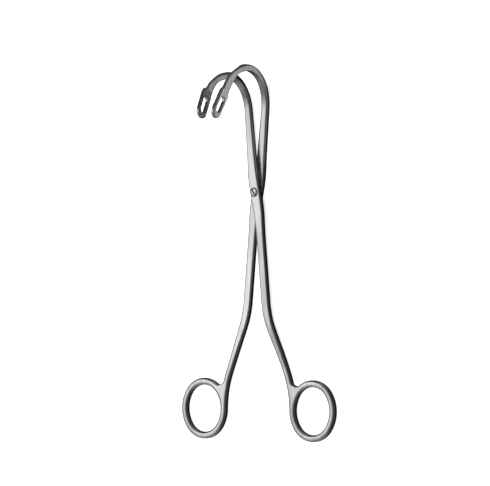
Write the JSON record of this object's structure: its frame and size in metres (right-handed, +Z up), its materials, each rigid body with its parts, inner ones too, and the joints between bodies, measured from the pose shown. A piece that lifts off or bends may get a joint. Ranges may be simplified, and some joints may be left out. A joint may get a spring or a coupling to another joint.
{
  "type": "stone forceps",
  "caption": "Ring-handled stone forceps with two nested full-curve bows, slotted toothed jaws and a screw lap joint, stored slightly open.",
  "frame": {"origin": "on the screw's axis, at the flat underside of the lower half, which is the plane that the forceps lies on", "axes": "+Y along the instrument from the rings to the bows, +Z up along the screw's axis, +X the way the lower half's jaw opens"},
  "size_m": [0.0956, 0.1986, 0.0545],
  "materials": {
    "half_steel": "satin polished",
    "screw_steel": "polished"
  },
  "bodies": {
    "lower": {"rear_half": "half_steel", "pivot_screw": "screw_steel"},
    "upper": {"front_half": "half_steel"}
  },
  "joints": [
    {"name": "pivot", "type": "hinge", "parent": "lower", "child": "upper", "pos_m": [0, 0, 0.00336], "axis": [0, 0, 1], "range_deg": [-9.7, 25]}
  ]
}
